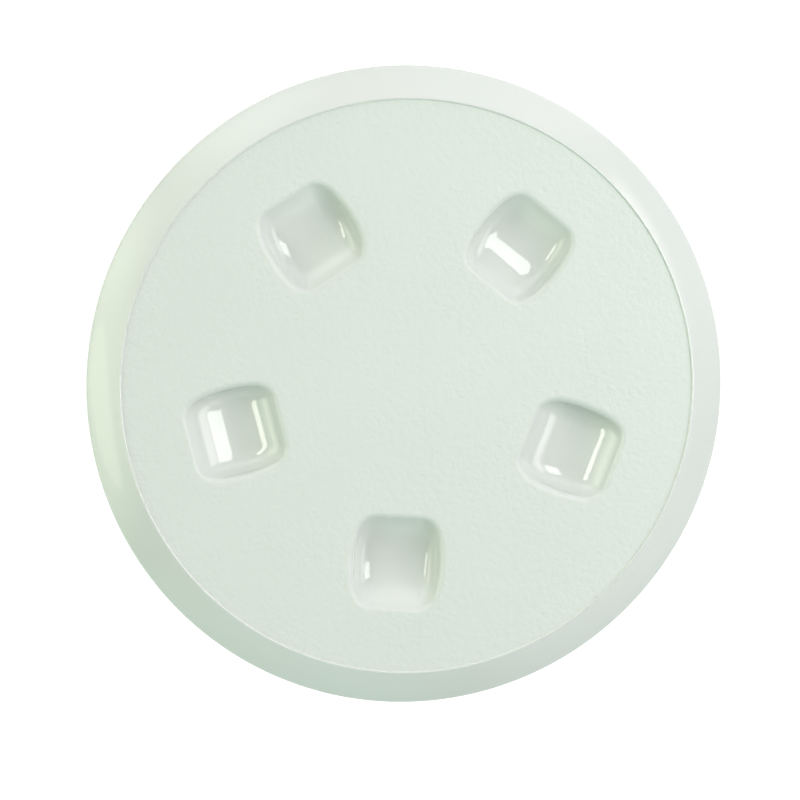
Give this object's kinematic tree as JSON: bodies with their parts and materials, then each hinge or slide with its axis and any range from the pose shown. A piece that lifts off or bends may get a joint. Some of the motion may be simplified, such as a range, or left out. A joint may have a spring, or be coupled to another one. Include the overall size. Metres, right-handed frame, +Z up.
{
  "type": "deck inspection plate",
  "caption": "Round screw-in deck inspection plate with a bevelled rim, fine-grained top, scooped finger wells, a threaded skirt, a sealing ring and a countersunk fixing ring.",
  "frame": {"origin": "centre of the deck plane, which is the underside of the fixing flange", "axes": "+Z up out of the deck along the screw axis, -Y through the middle of one finger well, +X through a fixing hole"},
  "size_m": [0.168, 0.168, 0.0262],
  "materials": {
    "cover_plastic": "white moulding, gloss on the bevel and in the wells, fine matt grain on the field",
    "ring_plastic": "white moulding, satin",
    "seal_rubber": "black, smooth"
  },
  "bodies": {
    "fixed_ring": {"mounting_ring": "ring_plastic"},
    "risen_seal": {"o_ring_seal": "seal_rubber"},
    "screw_cover": {"cover": "cover_plastic"}
  },
  "joints": [
    {"name": "cover_rise", "type": "slide", "parent": "fixed_ring", "child": "risen_seal", "axis": [0, 0, 1], "range_m": [0, 0.01]},
    {"name": "cover_turn", "type": "hinge", "parent": "risen_seal", "child": "screw_cover", "pos_m": [0, 0, 0], "axis": [0, 0, 1], "range_deg": [0, 900]}
  ],
  "couplings": [
    {"joint": "cover_rise", "follows": "cover_turn", "m_per_rad": 0.00063662}
  ]
}
